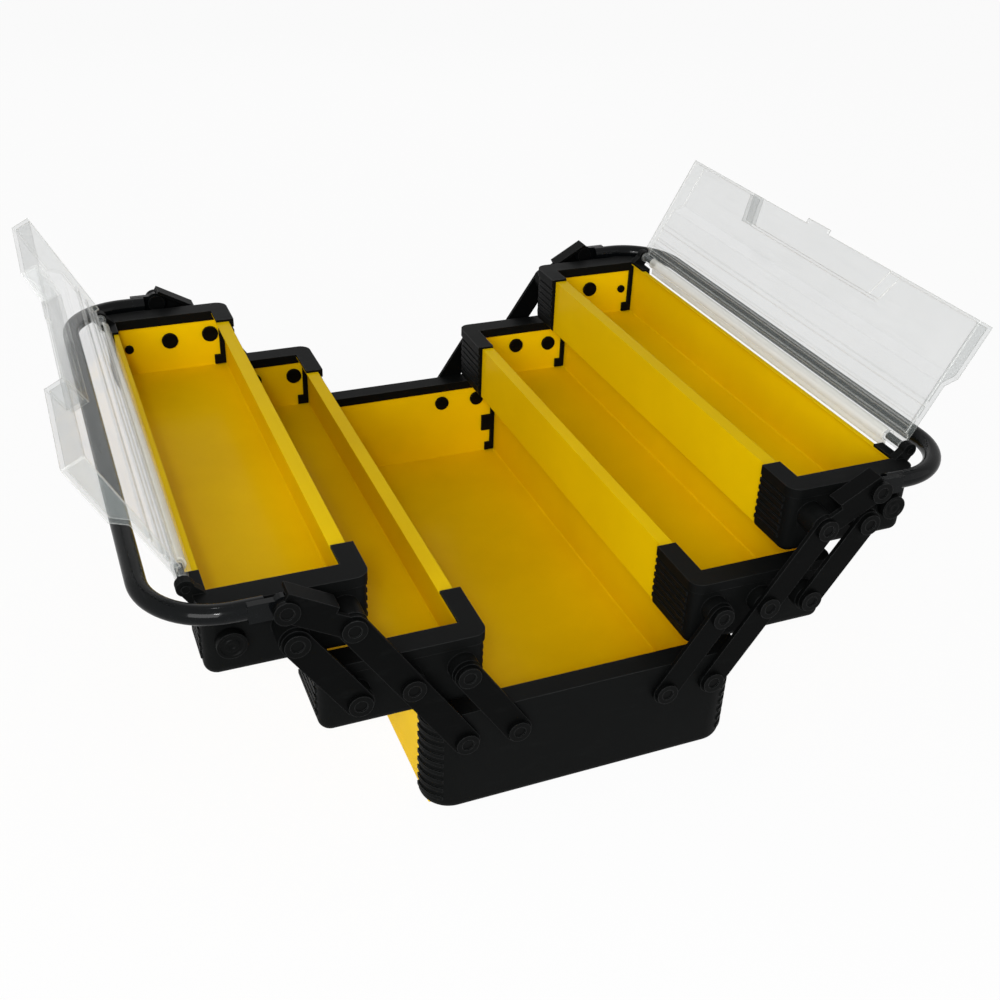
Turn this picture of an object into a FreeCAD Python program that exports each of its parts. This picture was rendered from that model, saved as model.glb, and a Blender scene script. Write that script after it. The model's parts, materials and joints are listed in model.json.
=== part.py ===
# Cantilever tool box with five sheet-metal trays, moulded end caps, parallel
# links, two clear lids and a pair of tube handles, shown standing open.
#
# Frame, in millimetres: X runs across the box (the way the trays swing out),
# Y along its length (the near end is at minus Y) and Z up. The origin is the
# middle of the base's underside. The pieces of the right side are modelled at
# the near end, and the far end and the left side are mirrored from them.

import FreeCAD
import Part
import math
import os
import Sketcher

os.makedirs("parts", exist_ok=True)
doc = FreeCAD.newDocument("tool_box")
sheet = doc.addObject("Spreadsheet::Sheet", "dims")

SIZES = [
    # base tray
    ("baseLength", 450, "over both end caps"),
    ("baseWidth", 222, "over the caps, without ribs"),
    ("baseHeight", 80, "underside to rim"),
    ("baseWrap", 22, "how far a base cap reaches along the side"),
    ("baseCorner", 20, "upright corner radius of a base cap"),
    # middle and top trays
    ("trayHeight", 50, "underside to rim"),
    ("trayGap", 3.25, "between a tray and the rim below it"),
    ("midInset", 8, "middle tray's end face set back from the base's"),
    ("midClear", 2, "folded middle tray to the centre plane"),
    ("midSide", 4, "folded middle tray inside the base's side"),
    ("midWrap", 50, "reach of the cap along the side"),
    ("topInset", 17, "top tray's end face set back from the base's"),
    ("topClear", 2.5, "folded top tray to the centre plane"),
    ("topSide", 12.5, "folded top tray inside the base's side"),
    ("topWrap", 36, "reach of the cap along the side"),
    # sheet pans
    ("sheetThick", 1, "steel sheet"),
    ("sheetFold", 1.8, "outer radius of the lower folds"),
    ("flangeWide", 10, "folded edge along an inner side"),
    ("hemWide", 3.5, "folded edge along an outer side"),
    # end caps
    ("capDepth", 12, "cap face to the pan's end wall"),
    ("capWall", 3, "moulded wall"),
    ("capRim", 2, "rim thickness over the pan's edge"),
    ("capRound", 6, "lower edge radius"),
    ("trayCorner", 8, "upright corner radius of a tray cap"),
    ("lipThick", 2, "inside lip and hooks"),
    ("lipDrop", 8, "depth of the inside lip"),
    ("lipPlay", 0.3, "lip to sheet"),
    ("hookWide", 4, "strip down the inside corner"),
    ("hookFoot", 9, "foot of the strip"),
    ("footTall", 8, "height of the foot"),
    ("keyWide", 9, "broad part of the base's hook"),
    ("keyTall", 16, "broad part of the base's hook"),
    ("keyLow", 24, "broad part above the base's underside"),
    ("ribOut", 1, "how far a rib stands out"),
    ("ribTall", 3, "rib height"),
    ("ribBite", 1, "rib sunk into the cap"),
    ("ribLow", 9, "lowest rib above the underside"),
    ("ribHigh", 4, "highest rib below the rim"),
    ("baseRibs", 10, "ribs on a base cap"),
    ("trayRibs", 7, "ribs on a tray cap"),
    ("bandTall", 7, "band round a tray cap below its rim"),
    # pivots and links
    ("longInset", 23, "long arm's lower pivot inside the base's side"),
    ("topPivot", 15.5, "long arm's top pivot inside the top tray's inner side"),
    ("innerPivot", 16, "inner link's top pivot inside the middle tray's inner side"),
    ("pivotDrop", 20.5, "pivots below a rim"),
    ("outerDrop", 2, "outer link's pivots below the others"),
    ("linkThick", 3, "link plate"),
    ("linkGap", 0.6, "link plate to the base cap's face"),
    ("linkHalf", 9, "half width of a link"),
    ("handAhead", 4.5, "handle pivot outside the outer link's top pivot"),
    ("handRise", 23.5, "handle pivot above the outer link's top pivot"),
    ("crankHalf", 7, "half width of the arm's crank"),
    ("stiffOut", 8.6, "crank's middle line to its stiffening flange"),
    ("stiffThick", 2.4, "stiffening flange of the crank"),
    ("stiffDeep", 10, "stiffening flange, in from the arm's plate"),
    ("stiffStart", 15, "flange's start from the long arm's top pivot"),
    ("stiffEnd", 4, "flange's end beyond the handle pivot"),
    ("pinRadius", 4, "rivet shank"),
    ("pinPlay", 0.05, "rivet shank to hole"),
    ("headRadius", 7.5, "rivet head"),
    ("headThick", 2.5, "rivet head"),
    ("headGap", 0.2, "rivet head to link, link to boss"),
    ("dishRadius", 4, "dished middle of a rivet head"),
    ("dishDepth", 1, "dished middle of a rivet head"),
    ("bossRound", 9.5, "pivot boss on a tray cap"),
    ("clenchRadius", 6.5, "rivet's clenched end inside a tray"),
    ("clenchThick", 2, "rivet's clenched end inside a tray"),
    # handles
    ("tubeRadius", 6, "handle tube"),
    ("tubeBend", 45, "bend radius of the tube's centre line"),
    ("gripOut", 28.5, "grip's centre line beyond the top tray's outer side"),
    ("tabRadius", 8, "flattened end of a handle leg"),
    ("tabThick", 4.4, "flattened end of a handle leg"),
    ("tabLong", 20, "flattened end of a handle leg"),
    ("tabGap", 0.3, "handle leg to long arm"),
    ("studRadius", 12, "stop button on a top cap"),
    ("studTall", 6, "stop's face in front of the cap"),
    ("studSide", 15, "stop's centre in from the tray's outer side"),
    ("studDrop", 26, "stop's centre below the rim"),
    ("studButton", 4.5, "stop's clenched end inside the tray"),
    ("studShank", 3, "stop's shank"),
    # clear lids
    ("hingeOut", 4.5, "hinge axis outside the tray's outer side"),
    ("hingeUp", 5, "hinge axis above the rim"),
    ("lidOpen", 62, "angle of the open lid above level, outward"),
    ("lidInset", 4.5, "free edge of the shut lid inside the tray's inner side"),
    ("lidWall", 2, "moulded wall"),
    ("lidSeat", 0.3, "shut lid above the rim"),
    ("lidFlat", 48, "flat strip beside the hinge"),
    ("lidSlope", 8, "sloping strip"),
    ("lidCrown", 9, "raised panel above the hinge axis"),
    ("lidSkin", 1.5, "flat strip above the hinge axis"),
    ("ridgeStart", 7, "first ridge along the flat strip, from the hinge"),
    ("ridgeStep", 6, "ridge to ridge"),
    ("ridgeWide", 2, "ridge along the flat strip"),
    ("ridgeTall", 1.2, "ridge along the flat strip"),
    ("beadStart", 30, "broad bead along the flat strip, from the hinge"),
    ("beadWide", 4, "broad bead along the flat strip"),
    ("gripLong", 168, "finger recess at its inner edge"),
    ("gripFlare", 8, "finger recess wider by this at each end"),
    ("gripDeep", 22, "finger recess"),
    ("latchWide", 28, "latch tab at the free edge"),
    ("latchOut", 4, "latch tab at the free edge"),
    ("bossRadius", 4.2, "hinge boss on the lid"),
    ("bossLong", 16, "hinge boss on the lid"),
    ("hingePin", 2.5, "hinge pin radius"),
    ("pinEnd", 1, "hinge pin beyond the lug"),
    ("lugRadius", 5.2, "hinge lug on the top cap"),
    ("lugThick", 6, "hinge lug"),
    ("lugSet", 12.5, "hinge lug behind the top cap's face"),
    ("lugGap", 1.5, "lid end to lug"),
]


class Dim:
    """A size that knows its value and the sheet formula behind it."""

    def __init__(self, value, text):
        self.value = float(value)
        self.text = text

    def _join(self, other, sign, value, swap=False):
        first = self.text
        second = other.text if isinstance(other, Dim) else repr(other)
        if swap:
            first, second = second, first
        return Dim(value, "(%s %s %s)" % (first, sign, second))

    def __add__(self, other):
        return self._join(other, "+", self.value + number(other))

    def __radd__(self, other):
        return self._join(other, "+", number(other) + self.value, True)

    def __sub__(self, other):
        return self._join(other, "-", self.value - number(other))

    def __rsub__(self, other):
        return self._join(other, "-", number(other) - self.value, True)

    def __mul__(self, other):
        return self._join(other, "*", self.value * number(other))

    def __rmul__(self, other):
        return self._join(other, "*", number(other) * self.value, True)

    def __truediv__(self, other):
        return self._join(other, "/", self.value / number(other))

    def __neg__(self):
        return Dim(-self.value, "(0 - %s)" % self.text)


def number(thing):
    return thing.value if isinstance(thing, Dim) else float(thing)


def root(dim):
    return Dim(math.sqrt(dim.value), "sqrt(%s)" % dim.text)


ZERO = Dim(0, "0")
D = {}
for row, (alias, value, note) in enumerate(SIZES, 1):
    sheet.set("A%d" % row, alias)
    sheet.set("B%d" % row, str(value))
    sheet.set("C%d" % row, note)
    sheet.setAlias("B%d" % row, alias)
    D[alias] = Dim(value, "dims.%s" % alias)
doc.recompute()


# Building helpers

def bind(obj, prop, dim):
    obj.setExpression(prop, dim.text)


def new_body(label):
    body = doc.addObject("PartDesign::Body", label)
    body.Label = label
    return body


def datum(body, role):
    for item in body.Origin.OriginFeatures:
        if item.Role == role:
            return item
    raise RuntimeError("no origin feature " + role)


def new_sketch(body, name, plane, offset):
    sketch = body.newObject("Sketcher::SketchObject", name)
    sketch.AttachmentSupport = [(datum(body, plane), "")]
    sketch.MapMode = "FlatFace"
    bind(sketch, "AttachmentOffset.Base.z", offset)
    return sketch


def pin_point(sketch, geo, pos, point):
    for kind, dim in (("DistanceX", point[0]), ("DistanceY", point[1])):
        rule = Sketcher.Constraint(kind, -1, 1, geo, pos, dim.value)
        index = sketch.addConstraint(rule)
        sketch.setExpression("Constraints[%d]" % index, dim.text)


def flat(point):
    return FreeCAD.Vector(point[0].value, point[1].value, 0)


def arc_between(centre, radius, start, end):
    """Arc of less than half a turn, and whether it runs from start to end."""
    a, b = flat(start) - flat(centre), flat(end) - flat(centre)
    forward = a.x * b.y - a.y * b.x > 0
    if not forward:
        a, b = b, a
    low = math.atan2(a.y, a.x)
    sweep = (math.atan2(b.y, b.x) - low) % (2 * math.pi)
    circle = Part.Circle(flat(centre), FreeCAD.Vector(0, 0, 1), radius.value)
    return Part.ArcOfCircle(circle, low, low + sweep), forward


def outline(sketch, points, arcs=None):
    """Closed outline through the given points, with straight lines between them.

    arcs gives the centre and radius of each side that is an arc instead, under
    the number of the point where that side starts.
    """
    first = sketch.GeometryCount
    count = len(points)
    ends = []
    for i, point in enumerate(points):
        after = points[(i + 1) % count]
        if arcs and i in arcs:
            side, forward = arc_between(arcs[i][0], arcs[i][1], point, after)
        else:
            side, forward = Part.LineSegment(flat(point), flat(after)), True
        sketch.addGeometry(side, False)
        ends.append((1, 2) if forward else (2, 1))
    for i, point in enumerate(points):
        after = (i + 1) % count
        sketch.addConstraint(Sketcher.Constraint(
            "Coincident", first + i, ends[i][1], first + after, ends[after][0]))
        pin_point(sketch, first + i, ends[i][0], point)
    for i, (centre, radius) in (arcs or {}).items():
        index = sketch.addConstraint(Sketcher.Constraint("Radius", first + i, radius.value))
        sketch.setExpression("Constraints[%d]" % index, radius.text)


def box_outline(sketch, x0, x1, y0, y1):
    outline(sketch, [(x0, y0), (x1, y0), (x1, y1), (x0, y1)])


def ring(sketch, centre, radius):
    circle = Part.Circle(flat(centre), FreeCAD.Vector(0, 0, 1), radius.value)
    geo = sketch.addGeometry(circle, False)
    pin_point(sketch, geo, 3, centre)
    index = sketch.addConstraint(Sketcher.Constraint("Radius", geo, radius.value))
    sketch.setExpression("Constraints[%d]" % index, radius.text)


def pad(body, sketch, length):
    feature = body.newObject("PartDesign::Pad", sketch.Name + "_pad")
    feature.Profile = sketch
    feature.Length = length.value
    bind(feature, "Length", length)
    doc.recompute()
    return feature


def pocket(body, sketch, length, along=False):
    """Cuts against the sketch's normal, or along it when asked."""
    before = body.Shape.Volume
    feature = body.newObject("PartDesign::Pocket", sketch.Name + "_cut")
    feature.Profile = sketch
    feature.Length = length.value
    feature.Reversed = along
    bind(feature, "Length", length)
    doc.recompute()
    if body.Shape.Volume > before - 0.01:
        raise RuntimeError("pocket cut nothing: " + feature.Name)
    return feature


def round_edges(body, name, radius, chosen):
    base = body.Tip
    names = []
    for i, edge in enumerate(base.Shape.Edges, 1):
        if chosen(edge.BoundBox):
            names.append("Edge%d" % i)
    feature = body.newObject("PartDesign::Fillet", name)
    feature.Base = (base, names)
    feature.Radius = radius.value
    bind(feature, "Radius", radius)
    doc.recompute()
    return feature


def rod(label, x, y, z, radius, length, axis):
    """Cylinder from a point along plus X or plus Y."""
    turns = {
        "x": FreeCAD.Rotation(FreeCAD.Vector(0, 1, 0), 90),
        "y": FreeCAD.Rotation(FreeCAD.Vector(1, 0, 0), -90),
    }
    obj = doc.addObject("Part::Cylinder", label)
    obj.Label = label
    obj.Placement = FreeCAD.Placement(FreeCAD.Vector(), turns[axis])
    bind(obj, "Radius", radius)
    bind(obj, "Height", length)
    bind(obj, "Placement.Base.x", x)
    bind(obj, "Placement.Base.y", y)
    bind(obj, "Placement.Base.z", z)
    return obj


def block(label, x0, x1, y0, y1, z0, z1):
    obj = doc.addObject("Part::Box", label)
    obj.Label = label
    bind(obj, "Length", x1 - x0)
    bind(obj, "Width", y1 - y0)
    bind(obj, "Height", z1 - z0)
    bind(obj, "Placement.Base.x", x0)
    bind(obj, "Placement.Base.y", y0)
    bind(obj, "Placement.Base.z", z0)
    return obj


def fuse(label, items):
    obj = doc.addObject("Part::MultiFuse", label)
    obj.Label = label
    obj.Shapes = items
    obj.Refine = True
    return obj


def cut(label, base, tool):
    obj = doc.addObject("Part::Cut", label)
    obj.Label = label
    obj.Base = base
    obj.Tool = tool
    return obj


def group(label, items):
    obj = doc.addObject("Part::Compound", label)
    obj.Label = label
    obj.Links = items
    return obj


def mirrored(label, source, normal):
    obj = doc.addObject("Part::Mirroring", label)
    obj.Label = label
    obj.Source = source
    obj.Base = FreeCAD.Vector(0, 0, 0)
    obj.Normal = normal
    return obj


BASE_RIB_TURN = 60
ACROSS = FreeCAD.Vector(1, 0, 0)
ALONG = FreeCAD.Vector(0, 1, 0)
pieces = []


def keep(obj):
    pieces.append(obj)
    return obj


def both_sides(name, right):
    """Keeps a right-hand piece and its left-hand mirror image."""
    keep(right)
    keep(mirrored(name + "_left", right, ACROSS))


def four(name, near):
    """Keeps a right near piece and its copies at the other three corners."""
    keep(near)
    far = keep(mirrored(name + "_right_far", near, ALONG))
    keep(mirrored(name + "_left_near", near, ACROSS))
    keep(mirrored(name + "_left_far", far, ACROSS))


def both_ends(label, items):
    """Group of loose solids at the near end and their copies at the far end."""
    near = group(label + "_near", items)
    far = mirrored(label + "_far", near, ALONG)
    return group(label, [near, far])


# Levels and places shared by several pieces. A stage of the linkage steps up by
# one tray and sideways by half of what the top tray has to travel to fold in.

base_end = D["baseLength"] / 2
mid_end = base_end - D["midInset"]
top_end = base_end - D["topInset"]
base_half = D["baseWidth"] / 2

link_rise = D["trayHeight"] + D["trayGap"]
link_run = (base_half - D["longInset"] - D["topPivot"] - D["topClear"]) / 2

mid_in = D["midClear"] + 2 * link_run
mid_out = mid_in + base_half - D["midSide"] - D["midClear"]
top_in = D["topClear"] + 4 * link_run
top_out = top_in + base_half - D["topSide"] - D["topClear"]
mid_low = D["baseHeight"] + D["trayGap"]
mid_rim = mid_low + D["trayHeight"]
top_low = mid_rim + D["trayGap"]
top_rim = top_low + D["trayHeight"]

arm_in = base_end + D["linkGap"]
arm_out = arm_in + D["linkThick"]
boss_tip = arm_in - D["headGap"]


def stage_up(point):
    return (point[0] + link_run, point[1] + link_rise)


def stage_down(point):
    return (point[0] - link_run, point[1] - link_rise)


pivot_high = D["baseHeight"] - D["pivotDrop"]
base_l = (base_half - D["longInset"], pivot_high)
base_s = (D["midClear"] + D["innerPivot"] + link_run, pivot_high)
mid_s = stage_up(base_s)
mid_l = stage_up(base_l)
top_l = stage_up(mid_l)
stud_x = top_out - D["studSide"]
top_t = ((top_l[0] + stud_x) / 2, top_l[1] - D["outerDrop"])
mid_t = stage_down(top_t)
hand = (top_t[0] + D["handAhead"], top_t[1] + D["handRise"])
stud_at = (stud_x, top_rim - D["studDrop"])
hinge = (top_out + D["hingeOut"], top_rim + D["hingeUp"])
half_lid = top_end - D["lugSet"] - D["lugThick"] - D["lugGap"]
hole = D["pinRadius"] + D["pinPlay"]
stud_hole = D["studShank"] + D["pinPlay"]


def other_side(point):
    return (-point[0], point[1])


base_pivots = [base_s, base_l, other_side(base_s), other_side(base_l)]
mid_pivots = [mid_s, mid_l, mid_t]
top_pivots = [top_l, top_t]
flange = D["flangeWide"]
hem = D["hemWide"]


# Sheet pans: a folded tray with a flange along the inner side

def make_pan(label, x0, x1, end, low, rim, fold0, fold1, pivots):
    thick = D["sheetThick"]
    half = end - D["capDepth"]
    left = x0 + D["capWall"]
    right = x1 - D["capWall"]
    top = rim - D["capRim"]
    body = new_body(label)
    plan = new_sketch(body, label + "_plan", "XY_Plane", low)
    box_outline(plan, left, right, -half, half)
    pad(body, plan, top - low)

    def lower_fold(box):
        return box.ZMax < low.value + 0.01 and box.YLength > 1

    round_edges(body, label + "_folds", D["sheetFold"], lower_fold)
    inside = new_sketch(body, label + "_inside", "XZ_Plane", -(half - thick))
    outline(inside, [
        (left + thick, low + D["sheetFold"]),
        (left + D["sheetFold"], low + thick),
        (right - D["sheetFold"], low + thick),
        (right - thick, low + D["sheetFold"]),
        (right - thick, top - thick),
        (right - fold1, top - thick),
        (right - fold1, top + thick),
        (left + fold0, top + thick),
        (left + fold0, top - thick),
        (left + thick, top - thick),
    ])
    pocket(body, inside, 2 * (half - thick), along=True)
    holes = new_sketch(body, label + "_holes", "XZ_Plane", -half)
    for point, radius in pivots:
        ring(holes, point, radius)
    pocket(body, holes, 2 * half, along=True)
    return body


# Moulded end caps: end plate, ribbed wraps round both sides, rim, lip and hooks

def rib_outline(sketch, edge, side, face, back, corner, turn):
    """One rib along a cap's side, carried round its corner by the given angle."""
    outer = edge + side * D["ribOut"]
    inner = edge - side * D["ribBite"]
    tangent = face + corner
    if turn == 0:
        box_outline(sketch, inner, outer, tangent, back)
        return
    across = side * math.cos(math.radians(turn))
    ahead = math.sin(math.radians(turn))
    big = corner + D["ribOut"]
    small = corner - D["ribBite"]
    middle = (edge - side * corner, tangent)
    outline(sketch, [
        (outer, back),
        (outer, tangent),
        (middle[0] + across * big, tangent - ahead * big),
        (middle[0] + across * small, tangent - ahead * small),
        (inner, tangent),
        (inner, back),
    ], {1: (middle, big), 3: (middle, small)})


def band_outline(sketch, x0, x1, face, back, corner):
    """A band round three sides of a cap, standing out as far as the ribs."""
    out = D["ribOut"]
    bite = D["ribBite"]
    tangent = face + corner
    left = (x0 + corner, tangent)
    right = (x1 - corner, tangent)
    outline(sketch, [
        (x1 + out, back),
        (x1 + out, tangent),
        (x1 - corner, face - out),
        (x0 + corner, face - out),
        (x0 - out, tangent),
        (x0 - out, back),
        (x0 + bite, back),
        (x0 + bite, tangent),
        (x0 + corner, face + bite),
        (x1 - corner, face + bite),
        (x1 - bite, tangent),
        (x1 - bite, back),
    ], {1: (right, corner + out), 3: (left, corner + out),
        7: (left, corner - bite), 9: (right, corner - bite)})


def make_cap(label, x0, x1, end, wrap, low, rim, corner, fold0, fold1, ribs, rib_turn, pivots, bosses):
    wall = D["capWall"]
    face = -end
    back = face + wrap
    seat = face + D["capDepth"]
    lip_far = seat + D["sheetThick"] + D["lipPlay"] + D["lipThick"]
    body = new_body(label)
    plan = new_sketch(body, label + "_plan", "XY_Plane", low)
    box_outline(plan, x0, x1, face, back)
    pad(body, plan, rim - low)

    def upright(box):
        return box.ZLength > 1 and box.YMax < face.value + 0.01

    def underside(box):
        return box.ZMax < low.value + 0.01 and box.YMin < back.value - 0.01

    round_edges(body, label + "_corners", corner, upright)
    round_edges(body, label + "_lower_edge", D["capRound"], underside)

    space = new_sketch(body, label + "_pan_space", "XY_Plane", low)
    box_outline(space, x0 + wall, x1 - wall, seat, back + wall)
    pocket(body, space, rim - low - D["capRim"], along=True)
    mouth = new_sketch(body, label + "_mouth", "XY_Plane", low)
    box_outline(mouth, x0 + wall + fold0, x1 - wall - fold1, lip_far, back + wall)
    pocket(body, mouth, rim - low + wall, along=True)
    hollow = new_sketch(body, label + "_hollow", "XZ_Plane", -seat)
    box_outline(hollow, x0 + corner, x1 - corner, low + wall, rim - wall)
    pocket(body, hollow, D["capDepth"] - wall, along=True)

    # the lip inside the pan and a hook down each corner
    top = rim - D["capRim"]
    under = top - D["sheetThick"] - D["lipPlay"]
    bottom = rim - D["lipDrop"]
    foot = low + D["sheetFold"] + D["lipPlay"]
    step = foot + D["footTall"]
    a = x0 + wall + D["sheetThick"] + D["lipPlay"]
    b = x1 - wall - D["sheetThick"] - D["lipPlay"]
    a_top = x0 + wall + fold0 + D["lipPlay"]
    b_top = x1 - wall - fold1 - D["lipPlay"]
    lip = new_sketch(body, label + "_lip", "XZ_Plane", -lip_far)
    outline(lip, [
        (a_top, top),
        (a_top, under),
        (a, under),
        (a, foot),
        (a + D["hookFoot"], foot),
        (a + D["hookFoot"], step),
        (a + D["hookWide"], step),
        (a + D["hookWide"], bottom),
        (b - D["hookWide"], bottom),
        (b - D["hookWide"], step),
        (b - D["hookFoot"], step),
        (b - D["hookFoot"], foot),
        (b, foot),
        (b, under),
        (b_top, under),
        (b_top, top),
    ])
    pad(body, lip, D["lipThick"])

    # ribs along both sides
    rib = new_sketch(body, label + "_rib", "XY_Plane", low + D["ribLow"])
    rib_outline(rib, x1, 1, face, back, corner, rib_turn)
    rib_outline(rib, x0, -1, face, back, corner, rib_turn)
    one = pad(body, rib, D["ribTall"])
    run = rim - low - D["ribLow"] - D["ribHigh"] - D["ribTall"]
    row = body.newObject("PartDesign::LinearPattern", label + "_ribs")
    row.Originals = [one]
    row.Direction = (datum(body, "Z_Axis"), [""])
    row.Length = run.value
    row.Occurrences = int(ribs.value)
    bind(row, "Length", run)
    bind(row, "Occurrences", ribs)
    body.Tip = row
    doc.recompute()

    # a tray cap has a band below its rim, bosses that hold the links out level
    # with each other, and the rivet holes
    if bosses:
        band = new_sketch(body, label + "_band", "XY_Plane", rim - D["bandTall"])
        band_outline(band, x0, x1, face, back, corner)
        pad(body, band, D["bandTall"])
        proud = new_sketch(body, label + "_bosses", "XZ_Plane", end)
        for point in bosses:
            ring(proud, point, D["bossRound"])
        pad(body, proud, boss_tip - end)
    holes = new_sketch(body, label + "_holes", "XZ_Plane", boss_tip)
    for point, radius in pivots:
        ring(holes, point, radius)
    pocket(body, holes, boss_tip - end + D["capDepth"])
    return body


def with_holes(points):
    return [(point, hole) for point in points]


base_holes = with_holes(base_pivots)
mid_holes = with_holes(mid_pivots)
top_holes = with_holes(top_pivots) + [(stud_at, stud_hole)]

keep(make_pan("base_pan", -base_half, base_half, base_end, ZERO, D["baseHeight"],
              hem, hem, base_holes))
base_cap = make_cap("base_cap_near", -base_half, base_half, base_end, D["baseWrap"],
                    ZERO, D["baseHeight"], D["baseCorner"], hem, hem, D["baseRibs"],
                    BASE_RIB_TURN, base_holes, [])

# the base's hooks broaden into a key half way down
key_edge = base_half - D["capWall"] - D["sheetThick"] - D["lipPlay"] - D["hookWide"]
key_face = base_end - D["capDepth"] - D["sheetThick"] - D["lipPlay"] - D["lipThick"]
key = new_sketch(base_cap, "base_hook_keys", "XZ_Plane", key_face)
key_top = D["keyLow"] + D["keyTall"]
box_outline(key, key_edge - D["keyWide"], key_edge, D["keyLow"], key_top)
box_outline(key, -key_edge, D["keyWide"] - key_edge, D["keyLow"], key_top)
pad(base_cap, key, D["lipThick"])
keep(base_cap)
keep(mirrored("base_cap_far", base_cap, ALONG))

both_sides("mid_pan", make_pan("mid_pan_right", mid_in, mid_out, mid_end, mid_low, mid_rim,
                               flange, hem, mid_holes))
four("mid_cap", make_cap("mid_cap_right_near", mid_in, mid_out, mid_end, D["midWrap"],
                         mid_low, mid_rim, D["trayCorner"], flange, hem, D["trayRibs"],
                         0, mid_holes, mid_pivots))

both_sides("top_pan", make_pan("top_pan_right", top_in, top_out, top_end, top_low, top_rim,
                               flange, hem, top_holes))
top_cap = make_cap("top_cap_right_near", top_in, top_out, top_end, D["topWrap"],
                   top_low, top_rim, D["trayCorner"], flange, hem, D["trayRibs"],
                   0, top_holes, top_pivots)

# the lid's hinge lug stands on the top cap's outer wrap
lug_back = half_lid + D["lugGap"]
lug_web = new_sketch(top_cap, "lug_web", "XZ_Plane", lug_back)
outline(lug_web, [
    (top_out - D["capWall"], top_rim - D["capRim"]),
    (top_out - D["capWall"], top_rim - 2 * D["lugRadius"]),
    (top_out, top_rim - 2 * D["lugRadius"]),
    (hinge[0] + D["lugRadius"], hinge[1]),
    (hinge[0], hinge[1] + D["lugRadius"]),
    (top_out - D["capWall"] - hem, top_rim),
    (top_out - D["capWall"] - hem, top_rim - D["capRim"]),
])
pad(top_cap, lug_web, D["lugThick"])
lug_eye = new_sketch(top_cap, "lug_eye", "XZ_Plane", lug_back)
ring(lug_eye, hinge, D["lugRadius"])
pad(top_cap, lug_eye, D["lugThick"])
lug_hole = new_sketch(top_cap, "lug_hole", "XZ_Plane", lug_back + D["lugThick"])
ring(lug_hole, hinge, D["hingePin"] + D["pinPlay"])
pocket(top_cap, lug_hole, D["lugThick"])
four("top_cap", top_cap)


# Links: flat plates outside the caps, all in one layer

link_span = root(link_run * link_run + link_rise * link_rise)


def strip(sketch, p, q, half, span):
    """Four-cornered strip between two pivots."""
    nx = (q[1] - p[1]) / span
    ny = (p[0] - q[0]) / span
    outline(sketch, [
        (p[0] + half * nx, p[1] + half * ny),
        (q[0] + half * nx, q[1] + half * ny),
        (q[0] - half * nx, q[1] - half * ny),
        (p[0] - half * nx, p[1] - half * ny),
    ])


def eye(body, name, centre, radius):
    plan = new_sketch(body, name, "XZ_Plane", arm_in)
    ring(plan, centre, radius)
    pad(body, plan, D["linkThick"])


def bores(body, name, centres):
    plan = new_sketch(body, name, "XZ_Plane", arm_out)
    for centre in centres:
        ring(plan, centre, hole)
    pocket(body, plan, D["linkThick"])


def make_link(label, p, q):
    body = new_body(label)
    plan = new_sketch(body, label + "_strip", "XZ_Plane", arm_in)
    strip(plan, p, q, D["linkHalf"], link_span)
    pad(body, plan, D["linkThick"])
    eye(body, label + "_eye_low", p, D["linkHalf"])
    eye(body, label + "_eye_high", q, D["linkHalf"])
    bores(body, label + "_bores", [p, q])
    return body


four("inner_link", make_link("inner_link_right_near", base_s, mid_s))
four("outer_link", make_link("outer_link_right_near", mid_t, top_t))

arm = new_body("long_arm_right_near")
arm_plan = new_sketch(arm, "arm_strip", "XZ_Plane", arm_in)
strip(arm_plan, base_l, top_l, D["linkHalf"], 2 * link_span)
pad(arm, arm_plan, D["linkThick"])
eye(arm, "arm_eye_low", base_l, D["linkHalf"])
eye(arm, "arm_eye_high", top_l, D["linkHalf"])
crank_run = hand[0] - top_l[0]
crank_rise = hand[1] - top_l[1]
crank_span = root(crank_run * crank_run + crank_rise * crank_rise)
crank_plan = new_sketch(arm, "arm_crank", "XZ_Plane", arm_in)
strip(crank_plan, top_l, hand, D["crankHalf"], crank_span)
pad(arm, crank_plan, D["linkThick"])
eye(arm, "arm_eye_hand", hand, D["crankHalf"])


def beside_crank(along, out):
    """Point beside the crank, measured from the long arm's top pivot."""
    return (top_l[0] + (along * crank_run - out * crank_rise) / crank_span,
            top_l[1] + (along * crank_rise + out * crank_run) / crank_span)


# the crank's upper edge is broadened and turned in as a stiffening flange
stiff_far = crank_span + D["stiffEnd"]
stiff_top = D["stiffOut"] + D["stiffThick"]
for name, start, out, depth in (("arm_crank_edge", arm_in, ZERO, D["linkThick"]),
                                ("arm_crank_flange", arm_in - D["stiffDeep"], D["stiffOut"],
                                 D["stiffDeep"] + D["linkThick"])):
    edge_plan = new_sketch(arm, name, "XZ_Plane", start)
    outline(edge_plan, [
        beside_crank(D["stiffStart"], out),
        beside_crank(stiff_far, out),
        beside_crank(stiff_far, stiff_top),
        beside_crank(D["stiffStart"], stiff_top),
    ])
    pad(arm, edge_plan, depth)
bores(arm, "arm_bores", [base_l, mid_l, top_l, hand])
four("long_arm", arm)


# Rivets: a dished head outside the link, a shank and a clenched end inside

def inner_face(end):
    return end - D["capDepth"] - D["sheetThick"]


def make_rivet(label, point, inside):
    x, z = point
    outer = arm_out + D["headGap"]
    tip = outer + D["headThick"]
    clench = inside - D["clenchThick"]
    shank = rod(label + "_shank", x, -outer, z, D["pinRadius"], outer - clench, "y")
    head = rod(label + "_head", x, -tip, z, D["headRadius"], D["headThick"], "y")
    back = rod(label + "_back", x, -inside, z, D["clenchRadius"], D["clenchThick"], "y")
    dish = rod(label + "_dish", x, -tip, z, D["dishRadius"], D["dishDepth"], "y")
    return cut(label, fuse(label + "_solid", [shank, head, back]), dish)


def rivet_row(name, points, inside):
    return [make_rivet("%s_%d" % (name, i), p, inside) for i, p in enumerate(points)]


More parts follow.
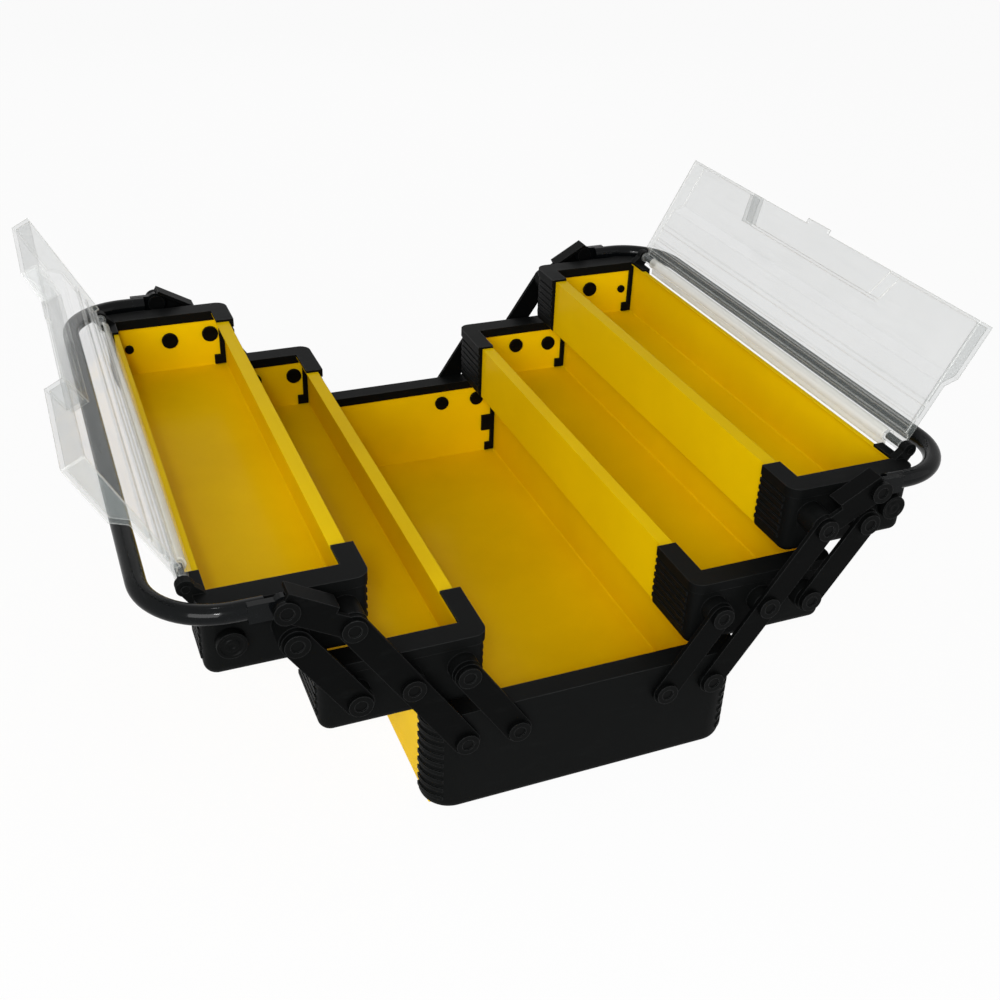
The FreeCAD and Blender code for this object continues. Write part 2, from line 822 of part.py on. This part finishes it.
keep(both_ends("rivets_base", rivet_row("base_rivet", base_pivots, inner_face(base_end))))
both_sides("rivets_mid", both_ends("rivets_mid_right",
                                   rivet_row("mid_rivet", mid_pivots, inner_face(mid_end))))
both_sides("rivets_top", both_ends("rivets_top_right",
                                   rivet_row("top_rivet", top_pivots, inner_face(top_end))))
tab_y = arm_in - D["tabGap"] - D["tabThick"]
hand_rivet = make_rivet("hand_rivet", hand, tab_y - D["headGap"])
both_sides("rivets_handle", both_ends("rivets_handle_right", [hand_rivet]))

# the stop on each top cap, clenched inside the tray
stud_tip = top_end + D["studTall"]
stud_wall = inner_face(top_end)
stud = fuse("stud", [
    rod("stud_drum", stud_x, -stud_tip, stud_at[1], D["studRadius"], D["studTall"], "y"),
    rod("stud_shank", stud_x, -top_end, stud_at[1], D["studShank"], top_end - stud_wall, "y"),
    rod("stud_back", stud_x, -stud_wall, stud_at[1], D["studButton"], D["clenchThick"], "y"),
])
both_sides("stops", both_ends("stops_right", [stud]))


# Handle: one bent tube with flattened, drilled ends

leg_y = arm_in - D["tabGap"] - D["tubeRadius"]
grip_x = top_out + D["gripOut"]
bend_x = grip_x - D["tubeBend"]
bend_y = leg_y - D["tubeBend"]
leg_x = hand[0] + D["tabLong"] / 2


def make_bend(label, y, angle):
    obj = doc.addObject("Part::Torus", label)
    obj.Label = label
    obj.Angle3 = 90
    turn = FreeCAD.Rotation(FreeCAD.Vector(0, 0, 1), angle)
    obj.Placement = FreeCAD.Placement(FreeCAD.Vector(), turn)
    bind(obj, "Radius1", D["tubeBend"])
    bind(obj, "Radius2", D["tubeRadius"])
    bind(obj, "Placement.Base.x", bend_x)
    bind(obj, "Placement.Base.y", y)
    bind(obj, "Placement.Base.z", hand[1])
    return obj


tab_eye = rod("tab_eye", hand[0], -(tab_y + D["tabThick"]), hand[1], D["tabRadius"],
              D["tabThick"], "y")
tab_bar = block("tab_bar", hand[0], hand[0] + D["tabLong"], -(tab_y + D["tabThick"]), -tab_y,
                hand[1] - D["tubeRadius"], hand[1] + D["tubeRadius"])
leg = rod("leg", leg_x, -leg_y, hand[1], D["tubeRadius"], bend_x - leg_x, "x")
near_bend = make_bend("near_bend", -bend_y, -90)
end_near = fuse("handle_end_near", [tab_eye, tab_bar, leg, near_bend])
end_far = mirrored("handle_end_far", end_near, ALONG)
grip = rod("grip", grip_x, -bend_y, hand[1], D["tubeRadius"], 2 * bend_y, "y")
tube = fuse("handle_tube", [end_near, grip, end_far])
hand_bore = rod("hand_bore", hand[0], -arm_in, hand[1], hole, 2 * arm_in, "y")
both_sides("handle", cut("handle_right", tube, hand_bore))


# Clear lid, modelled lying outward from its hinge and then turned up

crown = D["lidCrown"]
skin = D["lidSkin"]
thin = D["lidWall"]
deep = hinge[0] - top_in - D["lidInset"]
skirt = D["hingeUp"] - D["lidSeat"]
slope_end = D["lidFlat"] + D["lidSlope"]

lid = new_body("lid_right")
lid_skin = new_sketch(lid, "lid_skin", "XZ_Plane", -half_lid)
outline(lid_skin, [
    (ZERO, -skin),
    (D["lidFlat"], -skin),
    (slope_end, -crown),
    (deep, -crown),
    (deep, skirt),
    (deep - thin, skirt),
    (deep - thin, thin - crown),
    (slope_end + thin / 2, thin - crown),
    (D["lidFlat"] + thin / 2, thin - skin),
    (ZERO, thin - skin),
])
pad(lid, lid_skin, 2 * half_lid)
for name, start in (("lid_end_far", -half_lid), ("lid_end_near", half_lid - thin)):
    lid_wall = new_sketch(lid, name, "XZ_Plane", start)
    outline(lid_wall, [
        (2 * D["bossRadius"], -skin),
        (D["lidFlat"], -skin),
        (slope_end, -crown),
        (deep, -crown),
        (deep, skirt),
        (2 * D["bossRadius"], skirt),
    ])
    pad(lid, lid_wall, thin)
for name, start in (("lid_boss_far", -half_lid), ("lid_boss_near", half_lid - D["bossLong"])):
    boss = new_sketch(lid, name, "XZ_Plane", start)
    ring(boss, (ZERO, ZERO), D["bossRadius"])
    pad(lid, boss, D["bossLong"])

# three ridges and a broad bead along the flat strip, on the inside
ridges = new_sketch(lid, "lid_ridges", "XZ_Plane", -half_lid)
for step in range(3):
    start = D["ridgeStart"] + step * D["ridgeStep"]
    box_outline(ridges, start, start + D["ridgeWide"], ZERO, thin - skin + D["ridgeTall"])
box_outline(ridges, D["beadStart"], D["beadStart"] + D["beadWide"], ZERO,
            thin - skin + D["ridgeTall"])
pad(lid, ridges, 2 * half_lid)

# finger recess with slanting ends, let into the middle of the free edge
grip_half = D["gripLong"] / 2
mouth_half = grip_half + D["gripFlare"]
grip_in = deep - D["gripDeep"]
recess = new_sketch(lid, "lid_recess", "XY_Plane", skirt + thin)
outline(recess, [
    (grip_in, -grip_half),
    (deep, -mouth_half),
    (deep + thin, -mouth_half),
    (deep + thin, mouth_half),
    (deep, mouth_half),
    (grip_in, grip_half),
])
pocket(lid, recess, skirt + crown + 2 * thin)
recess_wall = new_sketch(lid, "lid_recess_wall", "XY_Plane", -crown)
outline(recess_wall, [
    (deep, -(mouth_half + thin)),
    (deep, -mouth_half),
    (grip_in, -grip_half),
    (grip_in, grip_half),
    (deep, mouth_half),
    (deep, mouth_half + thin),
    (grip_in - thin, grip_half + thin),
    (grip_in - thin, -(grip_half + thin)),
])
pad(lid, recess_wall, crown + skirt)
recess_floor = new_sketch(lid, "lid_recess_floor", "XY_Plane", skirt - thin)
outline(recess_floor, [
    (grip_in - thin, -(grip_half + thin)),
    (deep, -(mouth_half + thin)),
    (deep, mouth_half + thin),
    (grip_in - thin, grip_half + thin),
])
pad(lid, recess_floor, thin)
latch_half = D["latchWide"] / 2
latch = new_sketch(lid, "lid_latch", "XY_Plane", skirt - thin)
box_outline(latch, deep - thin, deep + D["latchOut"], -latch_half, latch_half)
pad(lid, latch, thin)
pin_room = D["hingePin"] + D["pinPlay"]
for name, start in (("lid_bore_far", -half_lid), ("lid_bore_near", half_lid - D["bossLong"])):
    bore = new_sketch(lid, name, "XZ_Plane", start)
    ring(bore, (ZERO, ZERO), pin_room)
    pocket(lid, bore, D["bossLong"], along=True)
turn_up = FreeCAD.Rotation(FreeCAD.Vector(0, -1, 0), D["lidOpen"].value)
lid.Placement = FreeCAD.Placement(FreeCAD.Vector(hinge[0].value, 0, hinge[1].value), turn_up)
bind(lid, "Placement.Base.x", hinge[0])
bind(lid, "Placement.Base.z", hinge[1])
both_sides("lid", lid)

pin_long = D["bossLong"] + D["lugGap"] + D["lugThick"] + D["pinEnd"]
lid_pin = rod("lid_pin", hinge[0], -(half_lid - D["bossLong"] + pin_long), hinge[1],
              D["hingePin"], pin_long, "y")
both_sides("lid_pins", both_ends("lid_pins_right", [lid_pin]))


# Check every object, then write one file for each piece

doc.recompute()
for obj in doc.Objects:
    if "Invalid" in obj.State or "Error" in obj.State:
        raise RuntimeError("failed object: %s %s" % (obj.Label, obj.State))
for obj in pieces:
    if obj.Shape.isNull() or not obj.Shape.isValid():
        raise RuntimeError("bad shape: " + obj.Label)
for obj in pieces:
    obj.Shape.exportStep("parts/%s.step" % obj.Label)
print(len(pieces), "pieces written")
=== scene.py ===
import json
import math

import bpy
from mathutils import Matrix, Vector


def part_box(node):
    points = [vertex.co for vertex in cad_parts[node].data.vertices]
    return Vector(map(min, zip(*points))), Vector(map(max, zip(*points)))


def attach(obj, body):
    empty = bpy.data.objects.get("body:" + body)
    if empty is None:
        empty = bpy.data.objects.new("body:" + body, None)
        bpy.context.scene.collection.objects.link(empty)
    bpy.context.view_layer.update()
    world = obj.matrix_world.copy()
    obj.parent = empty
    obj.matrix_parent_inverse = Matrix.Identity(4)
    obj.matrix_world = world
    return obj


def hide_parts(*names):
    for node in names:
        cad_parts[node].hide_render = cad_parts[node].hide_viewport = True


# The tool box comes in as a fixed frame of rigid bodies, in metres: X across the
# box, Y along it, Z up. Here its pieces get their finishes, their small fittings
# and the studio round them.
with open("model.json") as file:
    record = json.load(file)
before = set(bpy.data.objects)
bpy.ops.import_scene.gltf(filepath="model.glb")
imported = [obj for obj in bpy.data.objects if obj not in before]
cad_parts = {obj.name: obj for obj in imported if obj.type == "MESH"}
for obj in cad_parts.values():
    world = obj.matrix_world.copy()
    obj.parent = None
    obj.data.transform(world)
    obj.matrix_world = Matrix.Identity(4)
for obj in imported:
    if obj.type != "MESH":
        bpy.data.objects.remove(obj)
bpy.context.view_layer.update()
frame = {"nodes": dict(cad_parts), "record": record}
nodes = frame["nodes"]
bpy.ops.object.select_all(action="DESELECT")
bpy.context.scene.view_settings.view_transform = "Standard"


# Shader maths as plain expressions

class Value:
    """A socket that adds Math nodes when it is used in an expression."""

    def __init__(self, tree, socket):
        self.tree = tree
        self.socket = socket

    def math(self, operation, first, second):
        return self.tree.node("ShaderNodeMath", {"operation": operation}, {0: first, 1: second})

    def __add__(self, other):
        return self.math("ADD", self, other)

    def __radd__(self, other):
        return self.math("ADD", other, self)

    def __sub__(self, other):
        return self.math("SUBTRACT", self, other)

    def __rsub__(self, other):
        return self.math("SUBTRACT", other, self)

    def __mul__(self, other):
        return self.math("MULTIPLY", self, other)

    def __rmul__(self, other):
        return self.math("MULTIPLY", other, self)

    def or_more(self, other):
        return self.math("MAXIMUM", self, other)

    def above(self, low, high):
        """0 below low, 1 above high, smooth between."""
        return self.tree.node("ShaderNodeMapRange", {"interpolation_type": "SMOOTHSTEP"},
                              {0: self, 1: low, 2: high, 3: 0.0, 4: 1.0})


class Tree:
    """A node tree whose nodes are all added by one method."""

    def __init__(self, tree):
        self.tree = tree

    def node(self, kind, settings, inputs, out=0):
        made = self.tree.nodes.new(kind)
        for key, value in settings.items():
            setattr(made, key, value)
        for key, value in inputs.items():
            if isinstance(value, Value):
                self.tree.links.new(value.socket, made.inputs[key])
            else:
                made.inputs[key].default_value = value
        return Value(self, made.outputs[out])

    def on_show(self):
        """1 for what the camera sees, also in a mirror or through something clear."""
        camera, mirror, clear = [self.node("ShaderNodeLightPath", {}, {}, "Is %s Ray" % kind)
                                 for kind in ("Camera", "Glossy", "Transmission")]
        return camera.or_more(mirror.or_more(clear))


class Finish(Tree):
    """One material: a surface shader whose constants are set on its own sockets."""

    def __init__(self, name, **constants):
        self.material = bpy.data.materials.new(name)
        self.material.use_nodes = True
        super().__init__(self.material.node_tree)
        self.shader = self.tree.nodes["Principled BSDF"]
        for socket, value in constants.items():
            self.shader.inputs[socket.replace("_", " ")].default_value = value

    def place(self):
        return self.node("ShaderNodeTexCoord", {}, {}, "Object")

    def stretched(self, x, y, z):
        return self.node("ShaderNodeMapping", {}, {"Vector": self.place(), "Scale": (x, y, z)})

    def noise(self, scale, detail=2.0, rough=0.5, where=None):
        return self.node("ShaderNodeTexNoise", {}, {
            "Vector": where or self.place(), "Scale": scale, "Detail": detail, "Roughness": rough})

    def blend(self, mask, one, two):
        return self.node("ShaderNodeMix", {"data_type": "RGBA"}, {0: mask, 6: one, 7: two}, 2)

    def soft_edge(self, radius):
        """Normals rounded over the edges of a piece."""
        return self.node("ShaderNodeBevel", {"samples": 4}, {"Radius": radius})

    def edge_mask(self, rounded):
        """1 on an outer or inner edge, 0 on open faces."""
        here = self.node("ShaderNodeNewGeometry", {}, {}, "Normal")
        dot = self.node("ShaderNodeVectorMath", {"operation": "DOT_PRODUCT"},
                        {0: here, 1: rounded}, "Value")
        return (1.0 - dot).above(0.02, 0.25)

    def relief(self, height, depth, rounded):
        return self.node("ShaderNodeBump", {}, {
            "Height": height, "Strength": 1.0, "Distance": depth, "Normal": rounded})

    def feed(self, socket, value):
        self.tree.links.new(value.socket, self.shader.inputs[socket])


# Finishes

YELLOW_DEEP = (0.81, 0.532, 0.0008, 1)
YELLOW_LIGHT = (0.87, 0.585, 0.0010, 1)
# the lighter yellow of a painted highlight along the edges
YELLOW_EDGE_HIGHLIGHT = (0.96, 0.76, 0.012, 1)
YELLOW_FLECK = (0.60, 0.38, 0.0015, 1)
TUBE_BLACK = (0.0022, 0.0027, 0.0030, 1)
TUBE_SCRATCH = (0.020, 0.023, 0.025, 1)
CLEAR_TINT = (0.29, 0.325, 0.318, 1)
MILKY_TINT = (0.82, 0.82, 0.75, 1)
# the white of a painted reflection along the clear edges
CLEAR_EDGE_REFLECTION = (0.95, 0.96, 0.92, 1)


def yellow_paint():
    f = Finish("yellow_paint", Coat_Weight=0.03, Coat_Roughness=0.18, Specular_IOR_Level=0.015)
    tone = f.noise(9.0, detail=4.0, rough=0.55)
    smear = f.noise(1.0, detail=5.0, rough=0.6, where=f.stretched(55.0, 9.0, 55.0))
    fleck = f.noise(420.0).above(0.70, 0.78)
    orange_peel = f.noise(650.0) + 0.4 * f.noise(2600.0, detail=1.0)
    rounded = f.soft_edge(0.0009)
    edge = f.edge_mask(rounded)
    body = f.blend(tone.above(0.3, 0.7), YELLOW_DEEP, YELLOW_LIGHT)
    # lighter yellow along the edges, broken up by smear noise, is a painted highlight
    edge_highlighted = f.blend(edge * smear.above(0.4, 0.7) * 0.5, body, YELLOW_EDGE_HIGHLIGHT)
    f.feed("Base Color", f.blend(fleck * 0.18, edge_highlighted, YELLOW_FLECK))
    f.feed("Roughness", 0.34 + 0.16 * smear + 0.05 * tone)
    f.feed("Normal", f.relief(orange_peel, 0.00006, rounded))
    return f.material


def black_finish(name, dark, wear_and_highlight_grey, rough, grain, depth, gloss):
    """Black with a fine grain, greyer along its edges as a painted highlight and in scuffs of
    wear, and more polished along its edges.
    """
    f = Finish(name, Specular_IOR_Level=gloss, Coat_Roughness=0.2)
    tone = f.noise(16.0, detail=4.0, rough=0.6)
    scuff = f.noise(1.0, detail=4.0, rough=0.6, where=f.stretched(40.0, 130.0, 130.0))
    rounded = f.soft_edge(0.0008)
    edge = f.edge_mask(rounded)
    # lighter grey along the edges is a painted highlight; the scuff patches are wear
    wear_and_edge_highlight = (edge * 0.7 + 0.12 * scuff.above(0.55, 0.8)) * (0.4 + tone)
    f.feed("Base Color", f.blend(wear_and_edge_highlight, (dark, dark * 1.1, dark * 1.08, 1),
                                 (wear_and_highlight_grey, wear_and_highlight_grey * 1.06, wear_and_highlight_grey * 1.05, 1)))
    f.feed("Roughness", rough + 0.14 * tone + 0.08 * scuff)
    f.feed("Coat Weight", 0.012 + 0.40 * edge * (0.4 + tone))
    f.feed("Normal", f.relief(f.noise(grain, detail=3.0, rough=0.65), depth, rounded))
    return f.material


def tube_gloss():
    f = Finish("tube_gloss", Coat_Weight=0.18, Coat_Roughness=0.08, Specular_IOR_Level=0.02)
    tone = f.noise(24.0, detail=3.0)
    along = f.stretched(300.0, 30.0, 300.0)
    scratch = f.noise(1.0, detail=3.0, rough=0.7, where=along).above(0.60, 0.72)
    f.feed("Base Color", f.blend(scratch * 0.12, TUBE_BLACK, TUBE_SCRATCH))
    f.feed("Roughness", 0.18 + 0.10 * tone + 0.15 * scratch)
    f.feed("Normal", f.relief(f.noise(140.0, detail=1.0), 0.00001, f.soft_edge(0.0008)))
    return f.material


def clear_moulding(name, tint, veil):
    """Clear plastic that lets through all but its veil, whiter along its edges as a painted
    reflection.
    """
    f = Finish(name, Coat_Weight=0.5, Coat_Roughness=0.06, IOR=1.49)
    haze = f.noise(20.0, detail=4.0, rough=0.6)
    streak = f.noise(1.0, detail=4.0, rough=0.6, where=f.stretched(120.0, 14.0, 120.0))
    rounded = f.soft_edge(0.0018)
    edge = f.edge_mask(rounded)
    # whiter and less clear along the edges: a painted reflection
    f.feed("Base Color", f.blend(edge, tint, CLEAR_EDGE_REFLECTION))
    f.feed("Roughness", 0.12 + 0.12 * haze + 0.06 * streak)
    f.feed("Alpha", veil + 0.05 * haze + 0.02 * streak.above(0.5, 0.75) + 0.46 * edge)
    f.feed("Normal", f.relief(f.noise(90.0), 0.00004, rounded))
    return f.material


finish_of = {
    "yellow_paint": yellow_paint(),
    "black_plastic": black_finish("cap_plastic", dark=0.0030, wear_and_highlight_grey=0.020, rough=0.44,
                                  grain=1400.0, depth=0.00005, gloss=0.03),
    "black_links": black_finish("link_plate", dark=0.0018, wear_and_highlight_grey=0.022, rough=0.38,
                                grain=1000.0, depth=0.00003, gloss=0.022),
    "black_fittings": black_finish("rivet_black", dark=0.0020, wear_and_highlight_grey=0.026, rough=0.30,
                                   grain=900.0, depth=0.00002, gloss=0.035),
    "black_tube": tube_gloss(),
    "clear_plastic": clear_moulding("clear_moulding", CLEAR_TINT, veil=0.14),
}
milky_lip = clear_moulding("milky_lip", MILKY_TINT, veil=0.44)
for part in frame["record"]["subparts"]:
    skin = nodes[part["node"]].data.materials
    skin.clear()
    skin.append(finish_of[part["material_slot"]])


# Bench work that the fittings share

ALONG_Y = (math.radians(90), 0.0, 0.0)
SMOOTH_UNDER = math.radians(35)


def choose(made, kind, wanted):
    """Goes into edit mode with just those faces or edges selected that a test picks."""
    bpy.ops.object.mode_set(mode="EDIT")
    bpy.ops.mesh.select_mode(type=kind)
    bpy.ops.mesh.select_all(action="DESELECT")
    bpy.ops.object.mode_set(mode="OBJECT")
    for item in made.data.polygons if kind == "FACE" else made.data.edges:
        item.select = wanted(item)
    bpy.ops.object.mode_set(mode="EDIT")


def draw_out(x, y, z):
    bpy.ops.mesh.extrude_region_move(TRANSFORM_OT_translate={"value": (x, y, z)})


def ease_edges(made, width, sharper_than):
    soften = made.modifiers.new("soften", "BEVEL")
    soften.width = width
    soften.segments = 2
    soften.limit_method = "ANGLE"
    soften.angle_limit = math.radians(sharper_than)
    bpy.ops.object.modifier_apply(modifier="soften")
    bpy.ops.object.shade_smooth_by_angle(angle=SMOOTH_UNDER)


# Stop buttons: a dished drum with a dimpled boss stands on each top cap, and its
# shank runs through the cap to a clenched end inside the tray

STOP_RADIUS = 0.0087
STOP_TALL = 0.0060
STOP_SHANK = 0.0030
STOP_CLENCH = 0.0035
STOP_BACK = 0.193  # the clenched end's inner face, from the middle of the box
CLENCH_TALL = 0.0020
DISH_STEPS = ((0.0018, -0.0006), (0.0021, 0.0005), (0.0019, -0.0004))  # in, and out
DISH_SLOPE = 0.0004


def stop_button(x, z, front, back):
    """One button, from its front along Y to the back of its clenched end."""
    side = 1.0 if front > back else -1.0
    seat = front - side * STOP_TALL
    inside = back + side * CLENCH_TALL
    bpy.ops.object.select_all(action="DESELECT")
    bpy.ops.mesh.primitive_cylinder_add(vertices=40, radius=STOP_RADIUS, depth=STOP_TALL,
                                        location=(x, (front + seat) / 2, z), rotation=ALONG_Y)
    made = bpy.context.object
    bpy.ops.object.transform_apply(location=True, rotation=True, scale=True)
    choose(made, "FACE", lambda face: side * face.normal.y > 0.99)
    for inset, lift in DISH_STEPS:
        bpy.ops.mesh.inset(thickness=inset, depth=0.0)
        bpy.ops.mesh.inset(thickness=DISH_SLOPE, depth=lift)
    choose(made, "FACE", lambda face: side * face.normal.y < -0.99)
    bpy.ops.mesh.inset(thickness=STOP_RADIUS - STOP_SHANK, depth=0.0)
    draw_out(0.0, inside - seat, 0.0)
    draw_out(0.0, 0.0, 0.0)
    widen = STOP_CLENCH / STOP_SHANK
    bpy.ops.transform.resize(value=(widen, 1.0, widen), center_override=(x, inside, z))
    draw_out(0.0, back - inside, 0.0)
    bpy.ops.object.mode_set(mode="OBJECT")
    ease_edges(made, width=0.00018, sharper_than=30)
    return made


for hand in ("right", "left"):
    low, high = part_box("stops_" + hand)
    x, z = (low[0] + high[0]) / 2, (low[2] + high[2]) / 2
    near = stop_button(x, z, low[1], -STOP_BACK)
    far = stop_button(x, z, high[1], STOP_BACK)
    near.select_set(True)
    far.select_set(True)
    bpy.context.view_layer.objects.active = near
    bpy.ops.object.join()
    near.name = "dished_stops_" + hand
    near.data.materials.append(finish_of["black_fittings"])
    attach(near, "top_tray_" + hand)
    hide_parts("stops_" + hand)


# Lid hinges: the clear strip curls over its hinge line and ends in a lip that
# hangs outside the tray's wall, between the bosses

LID_HINGE = (0.243, 0.1915)  # across from the middle, and height
CURL_RADIUS = 0.0050
CURL_WALL = 0.0012
CURL_HALF = 0.1715
CURL_FROM, CURL_TO = 88.0, 252.0  # degrees, from straight outward and up
LIP_LONG = 0.0050
HAIR = 0.000001


def hinge_lip(hand, outer):
    bpy.ops.object.select_all(action="DESELECT")
    bpy.ops.mesh.primitive_cylinder_add(vertices=72, radius=CURL_RADIUS, depth=2 * CURL_HALF,
                                        end_fill_type="NOTHING", rotation=ALONG_Y,
                                        location=(outer * LID_HINGE[0], 0.0, LID_HINGE[1]))
    made = bpy.context.object
    made.name = "lid_lip_" + hand
    mesh = made.data
    bpy.ops.object.transform_apply(location=True, rotation=True, scale=True)

    def off_the_curl(face):
        heading = math.degrees(math.atan2(face.normal.z, outer * face.normal.x)) % 360.0
        return not CURL_FROM < heading < CURL_TO

    choose(made, "FACE", off_the_curl)
    bpy.ops.mesh.delete(type="FACE")
    bpy.ops.object.mode_set(mode="OBJECT")
    lowest = min(point.co.z for point in mesh.vertices)

    def at_the_foot(edge):
        return all(mesh.vertices[i].co.z < lowest + HAIR for i in edge.vertices)

    choose(made, "EDGE", at_the_foot)
    draw_out(0.0, 0.0, -LIP_LONG)
    bpy.ops.object.mode_set(mode="OBJECT")
    wall = made.modifiers.new("wall", "SOLIDIFY")
    wall.thickness = CURL_WALL
    wall.offset = -1.0
    wall.use_even_offset = True
    bpy.ops.object.modifier_apply(modifier="wall")
    ease_edges(made, width=0.0003, sharper_than=40)
    mesh.materials.append(milky_lip)
    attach(made, "lid_%s_body" % hand)


hinge_lip("right", 1)
hinge_lip("left", -1)
bpy.ops.object.select_all(action="DESELECT")


# Studio: a pale floor that the camera sees as nearly white, soft lamps and a room

FLOOR_SHARE = 0.94  # how far the floor is plain white, the rest takes the shadow
FLOOR_GREY = (0.9, 0.9, 0.9, 1)
FLOOR_SIZE = 8.0
FLOOR_DROP = 0.0004
ROOM_LEVEL = 0.23
WHITE = (1, 1, 1, 1)
LAMPS_AIM = Vector((0.0, 0.0, 0.1))

pale = bpy.data.materials.new("pale_floor")
pale.use_nodes = True
stage = Tree(pale.node_tree)
stage.tree.nodes.remove(stage.tree.nodes["Principled BSDF"])
matte = stage.node("ShaderNodeBsdfDiffuse", {}, {"Color": FLOOR_GREY})
glow = stage.node("ShaderNodeEmission", {}, {"Color": WHITE})
both = stage.node("ShaderNodeMixShader", {}, {0: stage.on_show() * FLOOR_SHARE, 1: matte, 2: glow})
stage.tree.links.new(both.socket, stage.tree.nodes["Material Output"].inputs["Surface"])

bpy.ops.mesh.primitive_plane_add(size=FLOOR_SIZE, location=(0.0, 0.0, -FLOOR_DROP))
floor = bpy.context.object
floor.name = "studio_floor"
floor.data.materials.append(pale)


def soft_lamp(name, place, size, power):
    lamp = bpy.data.lights.new(name, "AREA")
    lamp.size = size
    lamp.energy = power
    held = bpy.data.objects.new(name, lamp)
    held.location = place
    held.rotation_euler = (LAMPS_AIM - Vector(place)).to_track_quat("-Z", "Y").to_euler()
    bpy.context.collection.objects.link(held)


soft_lamp("key", (-1.0, -1.62, 0.9), size=1.1, power=32.0)
soft_lamp("fill", (1.4, -1.2, 0.9), size=1.6, power=4.2)
soft_lamp("back", (0.3, 1.6, 1.1), size=1.4, power=4.0)
soft_lamp("glint", (-0.24, 0.05, 1.3), size=0.05, power=0.4)
soft_lamp("spark", (-0.42, -0.98, 0.80), size=0.09, power=2.9)

world = bpy.data.worlds.new("studio")
world.use_nodes = True
bpy.context.scene.world = world
room = Tree(world.node_tree)
backdrop = room.tree.nodes["Background"]
backdrop.inputs["Color"].default_value = WHITE
strength = ROOM_LEVEL + (1.0 - ROOM_LEVEL) * room.on_show()
room.tree.links.new(strength.socket, backdrop.inputs["Strength"])


# The photograph's camera

CAMERA_AT = (-0.3020, -0.7615, 0.5912)
YAW, PITCH, ROLL = math.radians(23.3), math.radians(-31.6), math.radians(2.4)
SENSOR = 36.0
FOCAL_SHARE = 1.2306  # focal length over the picture's width

ahead = Vector((math.sin(YAW) * math.cos(PITCH), math.cos(YAW) * math.cos(PITCH), math.sin(PITCH)))
level_right = Vector((math.cos(YAW), -math.sin(YAW), 0.0))
level_up = level_right.cross(ahead)
right = math.cos(ROLL) * level_right + math.sin(ROLL) * level_up
up = math.cos(ROLL) * level_up - math.sin(ROLL) * level_right
lens = bpy.data.cameras.new("photo_camera")
lens.sensor_width = SENSOR
lens.lens = SENSOR * FOCAL_SHARE
camera = bpy.data.objects.new("photo_camera", lens)
turn = Matrix((right, up, -ahead)).transposed().to_4x4()
camera.matrix_world = Matrix.Translation(CAMERA_AT) @ turn
bpy.context.collection.objects.link(camera)
bpy.context.scene.camera = camera

bpy.context.view_layer.update()
